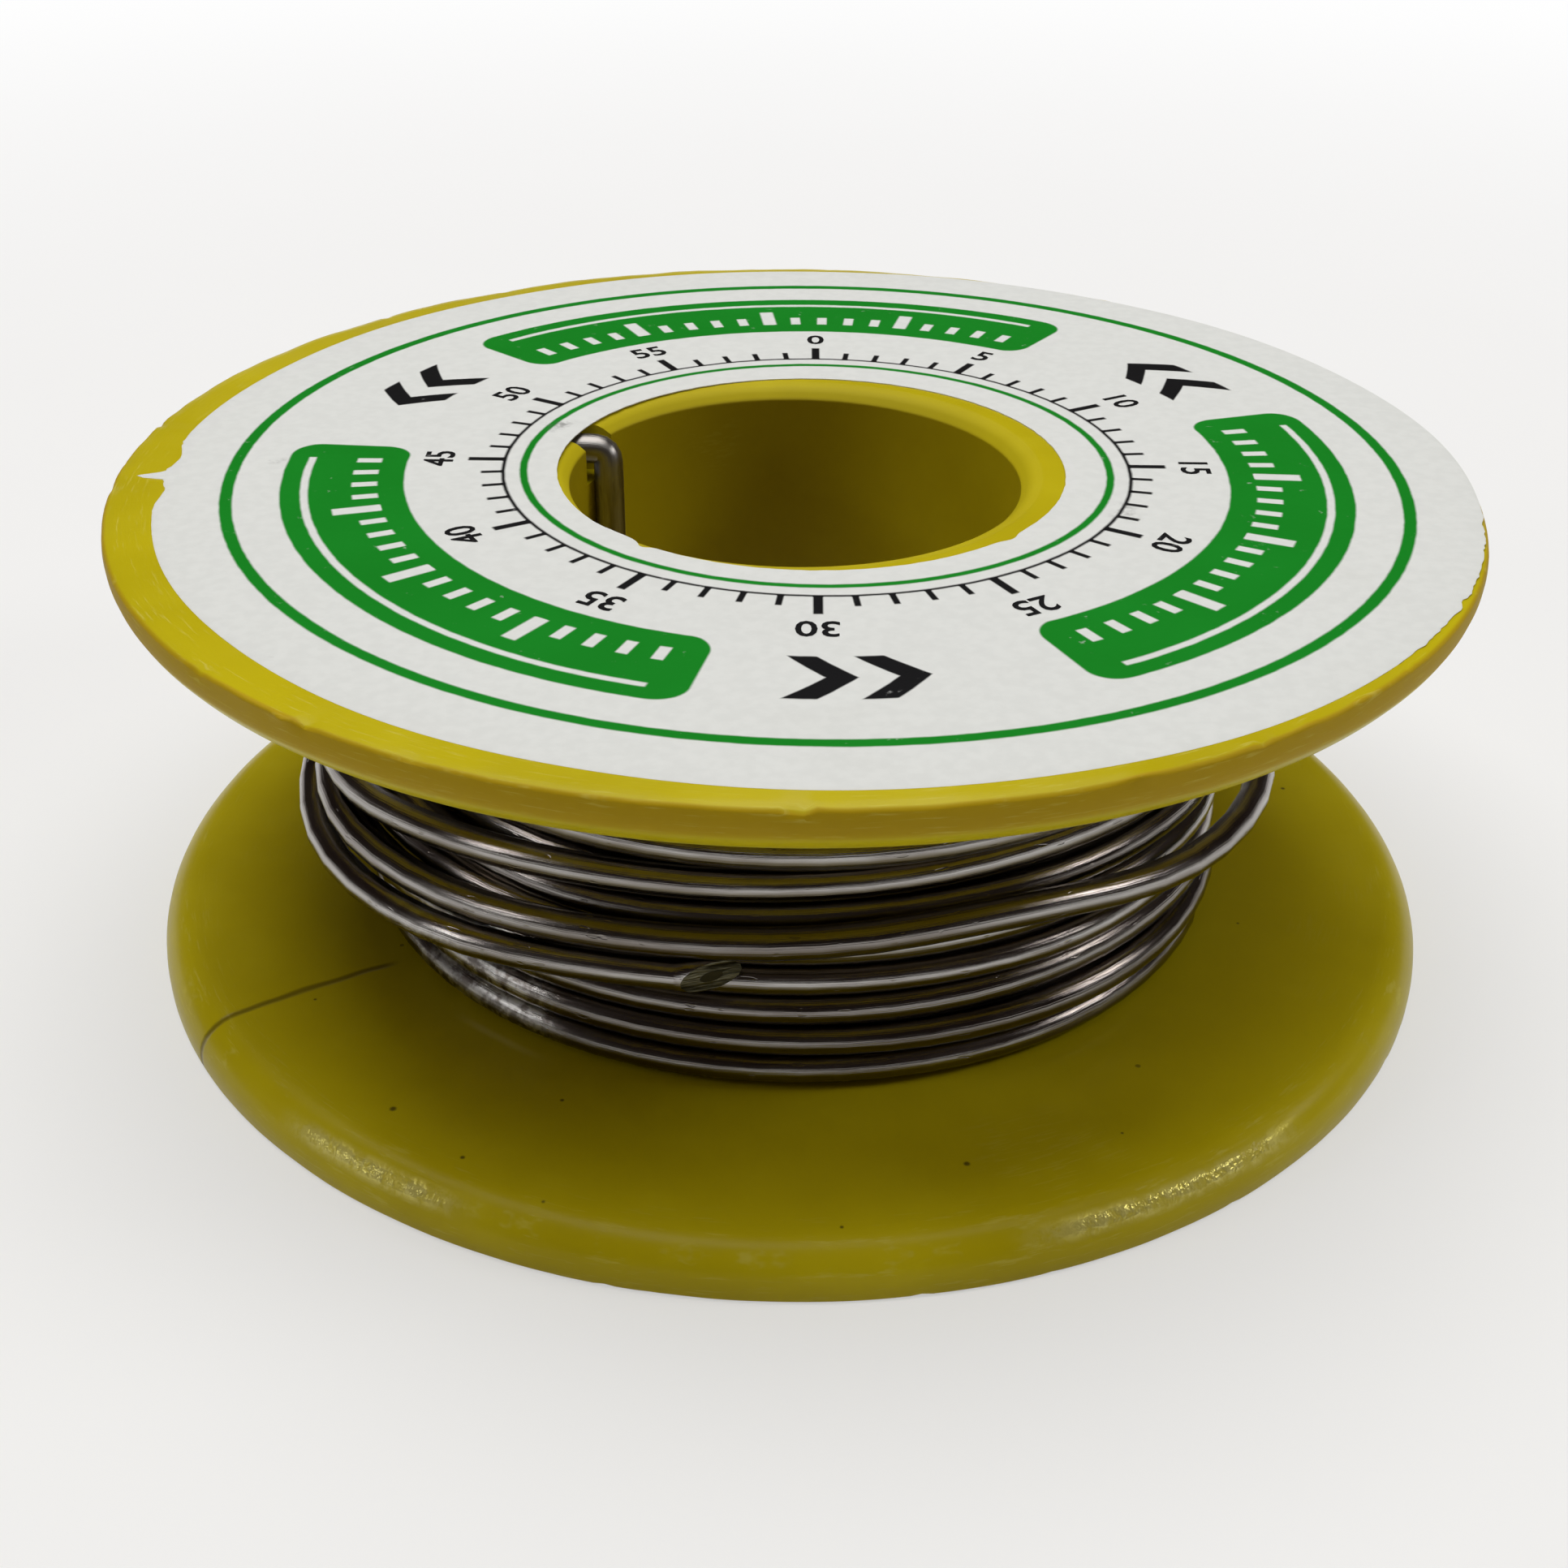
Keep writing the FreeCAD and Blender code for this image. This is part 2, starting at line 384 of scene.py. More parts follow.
# Yellow moulded plastic: satin, with a faint mottle, dark specks, the mould's seam and rubbed edges
def yellow_plastic():
    material, tree, shader = new_material("yellow_moulded_plastic")
    shader.inputs["Specular IOR Level"].default_value = 0.15
    place, (x, y, z) = object_place(tree)
    radius = (x * x + y * y).maths("SQRT")
    cloud = noise(tree, place, 90.0, 3.0, 0.6)
    mottle = noise(tree, place, 420.0, 3.0)
    colour = mix(tree, cloud.ramp(0.3, 0.7), PLASTIC_DEEP, PLASTIC_PALE)
    colour = mix(tree, mottle.ramp(0.45, 0.8) * 0.25, colour, PLASTIC_MOTTLE)
    on_lower_flange = z < 4.0 * MM

    # The wall of the bore is painted darker and browner as painted shade in the recess, less so
    # towards +X, and darker still as painted shade on the middle of its far side
    inside = ((UPPER_BORE_RADIUS + 0.1) * MM - radius).ramp(0.0, 0.2 * MM)
    bore_shade = 0.75 - x.ramp(1.0 * MM, 6.0 * MM) * 0.35
    colour = mix(tree, inside * bore_shade, colour, PLASTIC_BORE_SHADE)
    # Painted shade on the middle of the bore's far wall
    far_wall_shade = 1.0 - (x + 1.2 * MM).maths("ABSOLUTE").ramp(0.4 * MM, 5.2 * MM)
    far_wall_shade = far_wall_shade * (y > 0.0)
    colour = mix(tree, inside * far_wall_shade * 0.70, colour, PLASTIC_FAR_BORE_SHADE)

    # The upright wall of the upper rim is painted a deeper, warmer yellow than the faces, as
    # painted shade
    wall = radius.ramp(21.80 * MM, 21.94 * MM) * (z > 10.0 * MM)
    colour = mix(tree, wall * 0.8, colour, PLASTIC_RIM_WALL_SHADE)

    # Specks that came with the plastic: fine ones everywhere, and the larger ones in the list
    dust = noise(tree, place, 900.0, 1.0, 0.4)
    grit = noise(tree, place, 2300.0, 1.0, 0.4)
    specks = dust.ramp(0.830, 0.850) * 0.7 + grit.ramp(0.850, 0.865) * 0.6
    for speck_radius, azimuth, size in LOWER_SPECKS:
        away = distance(tree, place, polar(speck_radius, azimuth, FLANGE_THICKNESS))
        away = away + mottle * (0.05 * MM)
        specks = specks + 0.95 - away.ramp(size * MM * 0.5, size * MM * 1.2) * 0.95
    specks = specks.maths("MINIMUM", 1.0)
    colour = mix(tree, specks * 0.85, colour, PLASTIC_SPECK)

    # Seam across the lower flange
    turn = math.radians(SEAM_AZIMUTH)
    outwards = x * math.cos(turn) + y * math.sin(turn)
    wander = (noise(tree, place, 260.0, 2.0) - 0.5) * (0.6 * MM)
    across = (y * math.cos(turn) - x * math.sin(turn) + wander).maths("ABSOLUTE")
    seam = 1.0 - across.ramp(0.03 * MM, 0.20 * MM)
    seam = seam * outwards.ramp(SEAM_START * MM, (SEAM_START + 0.8) * MM) * on_lower_flange
    colour = mix(tree, seam * 0.68, colour, PLASTIC_SEAM)

    # Rubbed outer edges: paler, with fine scratches that run round the rim
    heading = vector(tree, x / radius * 14.0, y / radius * 14.0, radius * 9000.0 + z * 9000.0)
    scratches = noise(tree, heading, 1.0, 3.0, 0.7)
    rim = radius.ramp(19.6 * MM, 21.6 * MM)
    rubbed = rim * scratches.ramp(0.56, 0.72)
    colour = mix(tree, rubbed * 0.30, colour, PLASTIC_WORN_EDGE)
    scuffs = noise(tree, place, 150.0, 2.0).ramp(0.60, 0.72)
    scuffs = scuffs * scratches.ramp(0.5, 0.62) * (1.0 - inside)
    colour = mix(tree, scuffs * 0.18, colour, PLASTIC_SCUFF)

    # Two stretches of the lower rim's rounded edge are scraped, painted paler there as a painted
    # highlight, and given a metallic share as a painted glint
    scrape_and_highlight = 0.0
    for stretch in SCRAPED_HIGHLIGHT_STRETCHES:
        scrape_and_highlight = near_ray(x, y, *stretch) + scrape_and_highlight
    off_radius = radius - SCRAPED_HIGHLIGHT_PROFILE[0] * MM
    off_height = z - SCRAPED_HIGHLIGHT_PROFILE[1] * MM
    off = (off_radius * off_radius + off_height * off_height).maths("SQRT")
    scrape_and_highlight = scrape_and_highlight * (1.0 - off.ramp(0.08 * MM, 0.46 * MM))
    crackle = noise(tree, place, 1900.0, 3.0, 0.7)
    paled_highlight = scrape_and_highlight * (0.25 + crackle.ramp(0.40, 0.60) * 0.40)
    colour = mix(tree, paled_highlight, colour, PLASTIC_SCRAPE_HIGHLIGHT)
    glint = scrape_and_highlight * crackle.ramp(0.36, 0.56) * 0.35
    tree.links.new(glint.socket, shader.inputs["Metallic"])

    # A painted reflection of the wire runs along beside it as a pale streak
    off = (radius - REFLECTION_STREAK_RADIUS * MM + wander * 0.4).maths("ABSOLUTE")
    reflection_streak = (1.0 - off.ramp(0.02 * MM, 0.24 * MM)) * near_ray(x, y, *REFLECTION_STREAK_STRETCH)
    colour = mix(tree, reflection_streak * on_lower_flange * 0.30, colour, PLASTIC_PAINTED_REFLECTION)

    # The bore with its lip and the upper rim's wall are duller than the faces
    lip = z > (OVERALL_HEIGHT - LIP_DROP - 0.05) * MM
    lip = lip * (1.0 - radius.ramp(8.00 * MM, 8.15 * MM))
    dull = wall + inside.maths("MAXIMUM", lip)
    roughness = 0.26 + mottle * 0.10 + rubbed * 0.16 + scuffs * 0.12 - scrape_and_highlight * 0.04
    roughness = roughness + dull * 0.28
    height = mottle * 0.5 + noise(tree, place, 4200.0, 2.0) * 0.12 + scratches * rim * 0.35
    height = height - seam * 1.2 - specks * 0.3 + crackle * scrape_and_highlight * 6.0
    dress(tree, shader, colour, roughness, height, 0.07 * MM, 0.30)
    return material


# Paper ring, white and lightly coated, with its print in green and black ink
def label_paper():
    material, tree, shader = new_material("printed_label_paper")
    shader.inputs["Specular IOR Level"].default_value = 0.12
    place, (x, y, z) = object_place(tree)
    fibre = noise(tree, place, 2600.0, 3.0)
    stain = noise(tree, place, 110.0, 3.0, 0.6)
    paper = mix(tree, fibre.ramp(0.3, 0.7), PAPER_GREY, PAPER_WHITE)
    paper = mix(tree, stain.ramp(0.58, 0.80) * 0.35, paper, PAPER_STAIN)

    # Place on the print: millimetres from its middle, and degrees round it
    print_x, print_y = x / MM - LABEL_CENTRE[0], y / MM - LABEL_CENTRE[1]
    radius = (print_x * print_x + print_y * print_y).maths("SQRT")
    radius = radius + (noise(tree, place, 1500.0, 2.0) - 0.5) * 0.05
    angle = print_y.maths("ARCTAN2", print_x) * (180 / math.pi)

    def past(value, edge):
        """0 before an edge of the print and 1 past it."""
        return value.ramp(edge - PRINT_SOFTNESS, edge + PRINT_SOFTNESS)

    def ring(low, high):
        return past(radius, low) * (1.0 - past(radius, high))

    def from_nearest(step, turn=0.0):
        """Degrees from the nearest of the angles that are a whole number of steps from turn."""
        return (angle + (720.0 - turn + step / 2)).maths("MODULO", step) - step / 2

    def strokes(step, solid, end, turn=0.0):
        """1 on strokes along the radius, this many degrees apart and this wide to each side."""
        aside = from_nearest(step, turn).maths("ABSOLUTE") * radius * math.radians(1.0)
        return 1.0 - aside.ramp(solid, end)

    # Three broad bands with rounded corners, a fine line and a row of notches left white in each
    middle = sum(BAND_RADII) / 2
    half_width = (BAND_RADII[1] - BAND_RADII[0]) / 2
    half_length = math.radians(BAND_HALF_ANGLE) * middle
    off_middle = (radius - middle).maths("ABSOLUTE")
    along = from_nearest(360.0 / BAND_COUNT, BAND_TURN) * math.radians(middle)
    along = along.maths("ABSOLUTE")
    past_end = (along - (half_length - BAND_CORNER)).maths("MAXIMUM", 0.0)
    past_side = (off_middle - (half_width - BAND_CORNER)).maths("MAXIMUM", 0.0)
    past_corner = (past_end * past_end + past_side * past_side).maths("SQRT")
    band = 1.0 - past(past_corner, BAND_CORNER)
    within = 1.0 - past(along, half_length - BAND_END_MARGIN)
    line = ring(*BAND_LINE_RADII) * within
    notches = strokes(NOTCH_STEP, 0.14, 0.22, BAND_TURN) * ring(*NOTCH_RADII[:2])
    long_notches = strokes(LONG_NOTCH_STEP, 0.20, 0.30, BAND_TURN)
    notches = notches + long_notches * ring(NOTCH_RADII[0], NOTCH_RADII[2])
    band = band * (1.0 - (line + notches * within).maths("MINIMUM", 1.0))
    green = (band + ring(*RIM_LINE_RADII) + ring(*HOLE_LINE_RADII)).maths("MINIMUM", 1.0)

    # Between the bands a pair of arrowheads shows the way in which the wire unwinds
    gap_turn = BAND_TURN + 180.0 / BAND_COUNT
    slope = from_nearest(360.0 / BAND_COUNT, gap_turn) * math.radians(middle)
    slope = slope + off_middle * ARROW_SLOPE
    edges = [past(slope, edge) for edge in ARROW_EDGES]
    heads = edges[0] - edges[1] + edges[2] - edges[3]
    heads = heads * (1.0 - past(off_middle, ARROW_HALF_WIDTH))

    # The scale: short strokes, long strokes at the numbers, and a line under them
    scale = strokes(SCALE_STEP, 0.07, 0.13) * ring(*SCALE_RADII[:2])
    scale = scale + strokes(NUMBER_STEP, 0.11, 0.18) * ring(SCALE_RADII[0], SCALE_RADII[2])
    black = (heads + scale + ring(*SCALE_LINE_RADII)).maths("MINIMUM", 1.0)

    # The ink is worn through to the paper in tiny spots
    worn = 1.0 - noise(tree, place, 1900.0, 3.0, 0.7).ramp(0.66, 0.80) * 0.35
    green_ink = mix(tree, noise(tree, place, 260.0, 2.0), GREEN_DEEP, GREEN_PALE)
    printed = mix(tree, green * worn, paper, green_ink)
    printed = mix(tree, black * worn, printed, BLACK_INK)

    # Grey smudges from handled solder, and a greyed cut edge
    smudges = 0.0
    for smudge_radius, azimuth, size in LABEL_SMUDGES:
        centre = polar(smudge_radius, azimuth, LABEL_BASE + LABEL_THICKNESS)
        smudges = (1.0 - distance(tree, place, centre).ramp(0.0, size * MM)) + smudges
    smudges = smudges * noise(tree, place, 700.0, 4.0, 0.7).ramp(0.50, 0.66)
    smudges = smudges.maths("MINIMUM", 1.0)
    printed = mix(tree, smudges * 0.65, printed, SOLDER_SMUDGE)
    below_top = (LABEL_BASE + LABEL_THICKNESS * 0.7) * MM - z
    printed = mix(tree, below_top.ramp(0.0, 0.03 * MM) * 0.3, printed, PAPER_CUT_EDGE)

    ink = (green + black).maths("MINIMUM", 1.0)
    height = fibre * 0.6 + ink * 0.3
    roughness = 0.50 - ink * 0.12 + fibre * 0.08
    dress(tree, shader, printed, roughness, height, 0.02 * MM, 0.15)
    return material


def black_ink():
    material, tree, shader = new_material("black_label_ink")
    shader.inputs["Specular IOR Level"].default_value = 0.12
    place, _ = object_place(tree)
    worn = noise(tree, place, 1900.0, 3.0, 0.7)
    colour = mix(tree, worn.ramp(0.64, 0.80) * 0.5, BLACK_INK, WORN_INK)
    dress(tree, shader, colour, 0.42 + worn * 0.1)
    return material


# Drawn solder wire: grey metal with fine draw lines along it and a thin, patchy dull film
def solder_metal():
    material, tree, shader = new_material("drawn_solder_wire")
    shader.inputs["Metallic"].default_value = 1.0
    place, (_, _, level) = object_place(tree)
    uv = node(tree, "ShaderNodeUVMap", {"uv_map": "wire_way"}, {})
    along = part_of(tree, uv, 0)
    around = part_of(tree, uv, 1) * (2 * math.pi)
    ring = [around.maths("COSINE"), around.maths("SINE")]

    def wire_noise(stretch, scale, detail, roughness=0.6):
        """Noise that is drawn out along the wire and closes round it."""
        way = vector(tree, along * stretch, ring[0] * scale, ring[1] * scale)
        return noise(tree, way, 1.0, detail, roughness)

    lines = wire_noise(0.10, 11.0, 3.0)
    film = wire_noise(0.30, 1.3, 3.0)
    grain = wire_noise(5.0, 5.0, 2.0)
    nicks = wire_noise(1.3, 2.6, 1.0).ramp(0.70, 0.76)
    colour = mix(tree, film.ramp(0.30, 0.70), SOLDER_DARK, SOLDER_BRIGHT)
    colour = mix(tree, lines.ramp(0.52, 0.70) * 0.35, colour, SOLDER_DRAW_LINE)
    colour = mix(tree, nicks * 0.5, colour, SOLDER_NICK)

    # Painted shade above each wound turn, a painted olive reflection of the flange below it, brown
    # residue in random patches, and painted shade on the topmost turns under the upper flange
    upwards = part_of(tree, node(tree, "ShaderNodeNewGeometry", {}, {}, 1), 2)
    patches = wire_noise(0.022, 0.3, 2.0, 0.5).ramp(0.45, 0.62)
    wound = along.ramp(*TAIL_END)
    below = 1.0 - upwards.ramp(-0.10, 0.22)
    at_top = level.ramp(TOP_SHADE_HEIGHTS[0] * MM, TOP_SHADE_HEIGHTS[1] * MM)
    colour = mix(tree, upwards.ramp(0.42, 0.75) * wound * 0.45, colour, PAINTED_SHADE_ABOVE)
    colour = mix(tree, below * wound * 0.80, colour, PAINTED_REFLECTION_BELOW)
    colour = mix(tree, patches * wound * 0.50, colour, RESIDUE_PATCH)
    # Painted shade on the topmost turns, which lie under the upper flange
    colour = mix(tree, at_top * wound * 0.85, colour, PAINTED_SHADE_AT_TOP)

    # A stretch at the lower left is crumpled, and its creases are painted pale as a painted
    # highlight
    away = distance(tree, place, CRUMPLED_PLACE)
    crumple = 1.0 - away.ramp(CRUMPLED_RADII[0] * MM, CRUMPLED_RADII[1] * MM)
    creases = noise(tree, place, 1500.0, 3.0, 0.65)
    colour = mix(tree, crumple * creases.ramp(0.42, 0.60) * 0.8, colour, SOLDER_CREASE_HIGHLIGHT)
    roughness = 0.10 + film.ramp(0.2, 0.8) * 0.11 + lines * 0.06 + crumple * 0.12
    roughness = roughness + (1.0 - wound) * 0.16
    height = lines * 0.7 + grain * 0.15 - nicks * 0.6 + creases * crumple * 1.3
    dress(tree, shader, colour, roughness, height, 0.03 * MM, 0.45)
    return material


# The sheared end faces: dark metal, torn in streaks
def cut_metal():
    material, tree, shader = new_material("sheared_solder_face")
    shader.inputs["Metallic"].default_value = 1.0
    place, _ = object_place(tree)
    mapping = {0: place, 2: (0.0, 0.35, 0.0), 3: (500.0, 500.0, 5600.0)}
    tear = noise(tree, node(tree, "ShaderNodeMapping", {}, mapping), 1.0, 3.0, 0.7)
    colour = mix(tree, tear.ramp(0.40, 0.66), *SOLDER_CUT)
    dress(tree, shader, colour, 0.42, tear, 0.12 * MM, 1.0)
    return material


def rosin_flux():
    material, tree, shader = new_material("amber_rosin_flux")
    shader.inputs["Specular IOR Level"].default_value = 0.2
    place, _ = object_place(tree)
    colour = mix(tree, noise(tree, place, 3000.0, 2.0), *ROSIN)
    dress(tree, shader, colour, 0.3)
    return material


# The wire's way: the hooked start, seven layers wound down and up in turn, and the loose turns.
# Start: radius, azimuth and height.
TAIL_CORNERS = [
    (6.85, 158.0, 9.28),
    (6.85, 158.0, 12.33),
    (6.93, 156.9, 14.50),
    (7.06, 155.3, 15.30),
    (7.78, 157.7, 15.38),
    (9.30, 163.1, 15.36),
    (9.57, 163.9, 12.52),
]

# Loose turns: azimuth, distance outside the winding's radius, height above the lower flange
LOOSE_CORNERS = [
    (30.5, 0.45, 0.60),
    (48.7, 0.79, 1.18),
    (74.9, 1.01, 2.08),
    (102.0, 1.15, 3.00),
    (128.8, 1.27, 3.84),
    (154.4, 1.30, 4.44),
    (180.0, 1.39, 4.74),
    (204.6, 1.68, 4.79),
    (228.3, 1.12, 4.91),
    (251.1, 0.87, 5.56),
    (273.0, 0.90, 5.88),
    (296.1, 0.68, 6.08),
    (321.4, 1.32, 5.08),
    (347.8, 1.87, 4.70),
    (374.2, 1.64, 4.80),
    (401.6, 1.90, 4.63),
    (429.9, 2.21, 4.23),
    (457.9, 2.41, 3.83),
    (485.7, 2.54, 3.58),
    (511.4, 2.49, 3.50),
    (536.1, 2.21, 3.64),
    (560.7, 2.23, 3.34),
    (587.3, 1.89, 4.00),
    (611.0, 0.69, 4.24),
    (624.5, 0.78, 4.68),
]

# A turn steps to its neighbour's level in the last stretch before this azimuth. The outer layer's
# last step is shorter, and its last turn lifts towards the loose turns: distance, start, stretch.
LAYER_CHANGE_AZIMUTH = 6.0
STEP_STRETCH = 48.0
LAST_STEP = (334.0, 46.0)
LIFT_OFF = (1.16, -16.0, 44.0)

# Degrees from one control point to the next, and from the end of the tail to the first turn
INNER_STEP = 30.0
OUTER_STEP = 20.0
TAIL_LEAD = 14.0

# Turns of the outer layer that have sprung away from it:
# level counted from the top, azimuth, width in degrees, distance outwards, distance up
SPRUNG_TURNS = [
    (3, 190.0, 38.0, 1.60, 0.0),
    (3, 185.0, 40.0, 0.0, -1.60),
    (3, 305.0, 25.0, 0.0, 0.35),
    (4, 243.0, 15.0, 0.06, -0.22),
    (4, 289.0, 18.0, 0.0, 0.22),
    (5, 205.0, 35.0, 0.55, 0.0),
    (5, 208.0, 22.0, 0.0, 0.35),
    (6, 195.0, 38.0, 0.85, 0.0),
    (6, 200.0, 22.0, 0.0, -0.55),
    (6, 313.0, 16.0, 0.0, -0.22),
    (8, 318.0, 34.0, 0.40, 0.0),
    (9, 310.0, 24.0, 0.14, 0.0),
]


def layer_points():
    """The wound turns, as control points of the wire's own spline."""
    points = []
    start = LAYER_CHANGE_AZIMUTH - 360.0 * sum(TURNS_IN_LAYERS)
    top_level = LOWEST_TURN + TURN_PITCH * (TURNS_IN_LAYERS[0] - 1)
    first = start + (TAIL_CORNERS[-1][1] - LAYER_CHANGE_AZIMUTH) + TAIL_LEAD
    for layer, turns in enumerate(TURNS_IN_LAYERS):
        outermost = layer == len(TURNS_IN_LAYERS) - 1
        step = OUTER_STEP if outermost else INNER_STEP
        radius = INNER_LAYER_RADIUS + layer * LAYER_STEP
        for count in range(int(360 * turns / step)):
            azimuth = start + count * step
            if azimuth < first:
                continue
            turn = int((azimuth - start) // 360)
            share = (azimuth - start) / 360.0 - turn
            crossing = smooth((share * 360.0 - 360.0 + STEP_STRETCH) / STEP_STRETCH)
            if turn == turns - 1:
                crossing = 0.0
            elif outermost and turn == turns - 2:
                crossing = smooth((share * 360.0 - LAST_STEP[0]) / LAST_STEP[1])
            level = turn + crossing
            if layer % 2:
                height = LOWEST_TURN + TURN_PITCH * (level + 0.5)
            else:
                height = top_level - TURN_PITCH * level
            out = 0.0
            if outermost:
                heading = azimuth % 360.0
                for sprung, centre, width, outwards, upwards in SPRUNG_TURNS:
                    weight = bump(heading, centre, width) if sprung == turn else 0.0
                    out += outwards * weight
                    height += upwards * weight
                if turn == turns - 1:
                    out += LIFT_OFF[0] * smooth((azimuth - LIFT_OFF[1]) / LIFT_OFF[2])
            elif turn == turns - 1:
                out += LAYER_STEP * crossing
            corner = (radius + out) / math.cos(math.radians(step / 2))
            points.append(polar(corner, azimuth, height))
        start += 360.0 * turns
    return points


def wire_way():
    """All control points of the wire, in millimetres."""
    tail = [polar(*corner) for corner in TAIL_CORNERS]
    loose = [
        polar(WINDING_RADIUS + out, azimuth, FLANGE_THICKNESS + height)
        for azimuth, out, height in LOOSE_CORNERS
    ]
    return tail + layer_points() + loose


def smooth_line(control_points, resolution):
    """Points along the open NURBS spline that has these control points, in metres."""
    curve = bpy.data.curves.new("wire_line", "CURVE")
    curve.dimensions = "3D"
    spline = curve.splines.new("NURBS")
    spline.points.add(len(control_points) - 1)
    for point, place in zip(spline.points, control_points):
        point.co = (*place, 1.0)
    spline.order_u = 3
    spline.use_endpoint_u = True
    curve.resolution_u = resolution
    holder = bpy.data.objects.new("wire_line", curve)
    mesh = bpy.data.meshes.new_from_object(holder)
    line = np.array([vertex.co for vertex in mesh.vertices], float)
    bpy.data.objects.remove(holder)
    bpy.data.curves.remove(curve)
    bpy.data.meshes.remove(mesh)
    return line


def unit(vectors):
    return vectors / np.linalg.norm(vectors, axis=-1, keepdims=True)


def carried_frames(line):
    """Unit tangents and side vectors along a line, the sides carried along without twist."""
    tangents = unit(np.gradient(line, axis=0))
    sides = np.zeros_like(line)
    side = unit(np.cross(tangents[-1], (0.0, 0.0, 1.0)))
    for index in range(len(line) - 1, -1, -1):
        side = unit(side - tangents[index] * np.dot(side, tangents[index]))
        sides[index] = side
    return tangents, sides, np.cross(tangents, sides)


def link_piece(name, mesh):
    piece = bpy.data.objects.new(name, mesh)
    bpy.context.scene.collection.objects.link(piece)
    return piece


def wire_tube(name, line, radius, sides, proud, material, cut_material):
    """A tube along the line with the cutter's slanted face at its free end and a square start.

    The two end faces stand proud of the wire's own ends by the given length. The rings that the
    slant would cross are left out."""
    bevel = CUT_BEVEL_LENGTH * MM
    lengths = np.concatenate([[0.0], np.cumsum(np.linalg.norm(np.diff(line, axis=0), axis=1))])
    kept = lengths < lengths[-1] - 1.05 * bevel
    tangents, side_ways, other_ways = carried_frames(line)
    angles = 2 * math.pi * np.arange(sides) / sides
    rim = radius * (np.cos(angles)[None, :, None] * side_ways[:, None, :]
                    + np.sin(angles)[None, :, None] * other_ways[:, None, :])
    rings = line[:, None, :] + rim
    rings[0] -= proud * tangents[0]
    tip, heading = line[-1], tangents[-1]
    outwards = unit(np.array([tip[0], tip[1], 0.0]))
    down_and_out = outwards - np.array([0.0, 0.0, CUT_DOWNWARDS])
    down_and_out = unit(down_and_out - heading * np.dot(down_and_out, heading))
    back = bevel * (1 + (rim[-1] / (WIRE_RADIUS * MM)) @ down_and_out) / 2 - proud
    last_ring = rings[-1] - back[:, None] * heading[None, :]
    rings = np.concatenate([rings[kept], last_ring[None]])
    along = np.append(lengths[kept], lengths[-1]) / MM
    count = len(rings)
    vertices = rings.reshape(-1, 3).tolist()
    faces = []
    for ring in range(count - 1):
        for side in range(sides):
            after = (side + 1) % sides
            faces.append((ring * sides + side, ring * sides + after,
                          (ring + 1) * sides + after, (ring + 1) * sides + side))
    walls = len(faces)
    faces.append(tuple(reversed(range(sides))))
    faces.append(tuple((count - 1) * sides + side for side in range(sides)))
    mesh = bpy.data.meshes.new(name)
    mesh.from_pydata(vertices, [], faces)
    way = mesh.uv_layers.new(name="wire_way")
    places = np.zeros((len(mesh.loops), 2), np.float32)
    wall_places = places[:4 * walls].reshape(count - 1, sides, 4, 2)
    wall_places[..., 0] = along[:-1, None, None]
    wall_places[:, :, 2:, 0] = along[1:, None, None]
    wall_places[..., 1] = (np.arange(sides) / sides)[None, :, None]
    wall_places[:, :, 1:3, 1] += 1 / sides
    way.data.foreach_set("uv", places.ravel())
    mesh.materials.append(material)
    mesh.materials.append(cut_material)
    at_end = np.arange(len(faces)) >= walls
    mesh.polygons.foreach_set("use_smooth", ~at_end)
    mesh.polygons.foreach_set("material_index", at_end.astype(np.int32))
    return link_piece(name, mesh)


def flux_tips(line, material):
    """The rosin core where it shows: a short stub in each end of the wire."""
    whole = bmesh.new()
    for part in (line[:FLUX_STUB_POINTS[0]], line[-FLUX_STUB_POINTS[1]:]):
        end = wire_tube("flux_core_tips", part, FLUX_RADIUS * MM, FLUX_SIDES, FLUX_PROUD * MM,
                        material, material)
        whole.from_mesh(end.data)
        bpy.data.objects.remove(end)
    mesh = bpy.data.meshes.new("flux_core_tips")
    whole.to_mesh(mesh)
    whole.free()
    mesh.materials.append(material)
    return link_piece("flux_core_tips", mesh)


def rounded_outline(corners, steps=8):
    """Points along a closed outline of corners (r, z, rounding), with arcs as chains of points."""
    outline = []
    for index, (radius, height, rounding) in enumerate(corners):
        corner = np.array([radius, height])
        before = unit(np.array(corners[index - 1][:2]) - corner)
        after = unit(np.array(corners[(index + 1) % len(corners)][:2]) - corner)
        if not rounding:
            outline.append(corner)
            continue
        half_turn = (math.pi - math.acos(np.clip(before @ after, -1, 1))) / 2
        reach = rounding * math.tan(half_turn)
        centre = corner + unit(before + after) * rounding / math.cos(half_turn)
        first = corner + before * reach - centre
        last = corner + after * reach - centre
        for step in range(steps + 1):
            share = step / steps
            weight_first = math.sin(2 * half_turn * (1 - share))
            weight_last = math.sin(2 * half_turn * share)
            off_centre = (first * weight_first + last * weight_last) / math.sin(2 * half_turn)
            outline.append(centre + off_centre)
    return outline


LATHE_INPUTS = {
    "NodeSocketInt": ("Segments", "Outline Points"),
    "NodeSocketFloat": ("Edge Flash", "Outer Radius", "Height", "Slot Width", "Slot Start",
                        "Slot End", "Slot Floor", "Slot Angle"),
    "NodeSocketVector": ("Slot Middle",),
}


